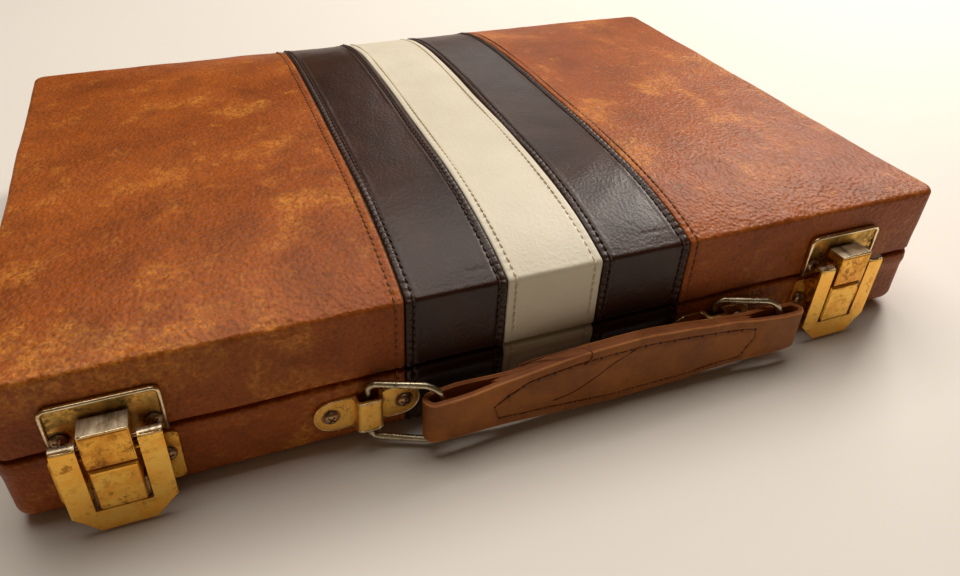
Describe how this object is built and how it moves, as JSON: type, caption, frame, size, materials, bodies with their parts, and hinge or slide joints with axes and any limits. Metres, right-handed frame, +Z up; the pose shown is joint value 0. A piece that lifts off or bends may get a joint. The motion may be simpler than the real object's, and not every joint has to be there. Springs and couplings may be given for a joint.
{
  "type": "backgammon case",
  "caption": "Closed leatherette board game case with a padded lid, a sewn band of strips, draw latches and a strap handle, holding its board, checkers and dice cups.",
  "frame": {"origin": "centre of the case body on the surface that it lies on", "axes": "+X to the right along the front, which faces -Y; +Z up, out of the lid"},
  "size_m": [0.381, 0.2729, 0.0747],
  "materials": {
    "wood": "matte",
    "brown_leatherette": "satin",
    "dark_leatherette": "satin",
    "cream_leatherette": "satin",
    "bottom_sheet": "matte",
    "foam": "matte",
    "field": "matte",
    "brass": "satin",
    "ring_metal": "satin",
    "screw_metal": "satin",
    "handle_leather": "satin",
    "light_checker": "gloss",
    "dark_checker": "gloss"
  },
  "bodies": {
    "base": {"base_front_rail": "wood", "base_back_rail": "wood", "base_left_rail": "wood", "base_right_rail": "wood", "base_cover_left": "brown_leatherette", "base_strip_dark_left": "dark_leatherette", "base_strip_cream": "cream_leatherette", "base_strip_dark_right": "dark_leatherette", "base_cover_right": "brown_leatherette", "base_playing_field": "field", "base_tray_divider": "wood", "hinge_leaf_base": "brass", "base_bottom_panel": "wood", "base_bottom_sheet": "bottom_sheet", "hinge_pin": "brass", "latch_base_plate_left": "brass", "latch_pivot_pin_left": "brass", "handle_lug_left": "brass", "latch_screw_left_a": "screw_metal", "latch_screw_left_b": "screw_metal", "lug_screw_left_a": "screw_metal", "lug_screw_left_b": "screw_metal", "latch_base_plate_right": "brass", "latch_pivot_pin_right": "brass", "handle_lug_right": "brass", "latch_screw_right_a": "screw_metal", "latch_screw_right_b": "screw_metal", "lug_screw_right_a": "screw_metal", "lug_screw_right_b": "screw_metal", "checker_stack_light": "light_checker", "checker_stack_dark": "dark_checker", "dice_cup_a": "handle_leather", "dice_cup_b": "handle_leather"},
    "lid": {"lid_front_rail": "wood", "lid_back_rail": "wood", "lid_left_rail": "wood", "lid_right_rail": "wood", "lid_cover_left": "brown_leatherette", "lid_strip_dark_left": "dark_leatherette", "lid_strip_cream": "cream_leatherette", "lid_strip_dark_right": "dark_leatherette", "lid_cover_right": "brown_leatherette", "lid_playing_field": "field", "lid_tray_divider": "wood", "hinge_leaf_lid": "brass", "lid_top_panel": "wood", "lid_padding": "foam", "latch_keeper_left": "brass", "keeper_screw_left_a": "screw_metal", "keeper_screw_left_b": "screw_metal", "latch_keeper_right": "brass", "keeper_screw_right_a": "screw_metal", "keeper_screw_right_b": "screw_metal"},
    "lever_left": {"latch_lever_left": "brass"},
    "claw_left": {"latch_claw_left": "brass"},
    "ring_left": {"handle_ring_left": "ring_metal"},
    "lever_right": {"latch_lever_right": "brass"},
    "claw_right": {"latch_claw_right": "brass"},
    "ring_right": {"handle_ring_right": "ring_metal"},
    "handle": {"handle_strap": "handle_leather"}
  },
  "joints": [
    {"name": "lid_hinge", "type": "hinge", "parent": "base", "child": "lid", "pos_m": [0, 0.1279, 0.03175], "axis": [-1, 0, 0], "range_deg": [0, 180]},
    {"name": "lever_left_hinge", "type": "hinge", "parent": "base", "child": "lever_left", "pos_m": [-0.1551, -0.1326, 0.03795], "axis": [-1, 0, 0], "range_deg": [0, 102]},
    {"name": "claw_left_hinge", "type": "hinge", "parent": "lever_left", "child": "claw_left", "pos_m": [-0.1551, -0.1326, 0.03295], "axis": [-1, 0, 0], "range_deg": [-102, 0]},
    {"name": "lever_right_hinge", "type": "hinge", "parent": "base", "child": "lever_right", "pos_m": [0.1429, -0.1326, 0.03795], "axis": [-1, 0, 0], "range_deg": [0, 102]},
    {"name": "claw_right_hinge", "type": "hinge", "parent": "lever_right", "child": "claw_right", "pos_m": [0.1429, -0.1326, 0.03295], "axis": [-1, 0, 0], "range_deg": [-102, 0]},
    {"name": "ring_left_swing", "type": "hinge", "parent": "base", "child": "ring_left", "pos_m": [-0.0697, -0.1284, 0.018], "axis": [0, 0, -1], "range_deg": [0, 134.5]},
    {"name": "handle_pivot", "type": "hinge", "parent": "ring_left", "child": "handle", "pos_m": [-0.04443, -0.139, 0.018], "axis": [0, 0, -1], "range_deg": [-134.5, 0]},
    {"name": "ring_right_swing", "type": "hinge", "parent": "base", "child": "ring_right", "pos_m": [0.0805, -0.1284, 0.018], "axis": [0, 0, -1], "range_deg": [0, 134.5]}
  ],
  "couplings": [
    {"joint": "claw_left_hinge", "follows": "lever_left_hinge", "ratio": -1},
    {"joint": "claw_right_hinge", "follows": "lever_right_hinge", "ratio": -1},
    {"joint": "handle_pivot", "follows": "ring_left_swing", "ratio": -1},
    {"joint": "ring_right_swing", "follows": "ring_left_swing", "ratio": 1}
  ]
}
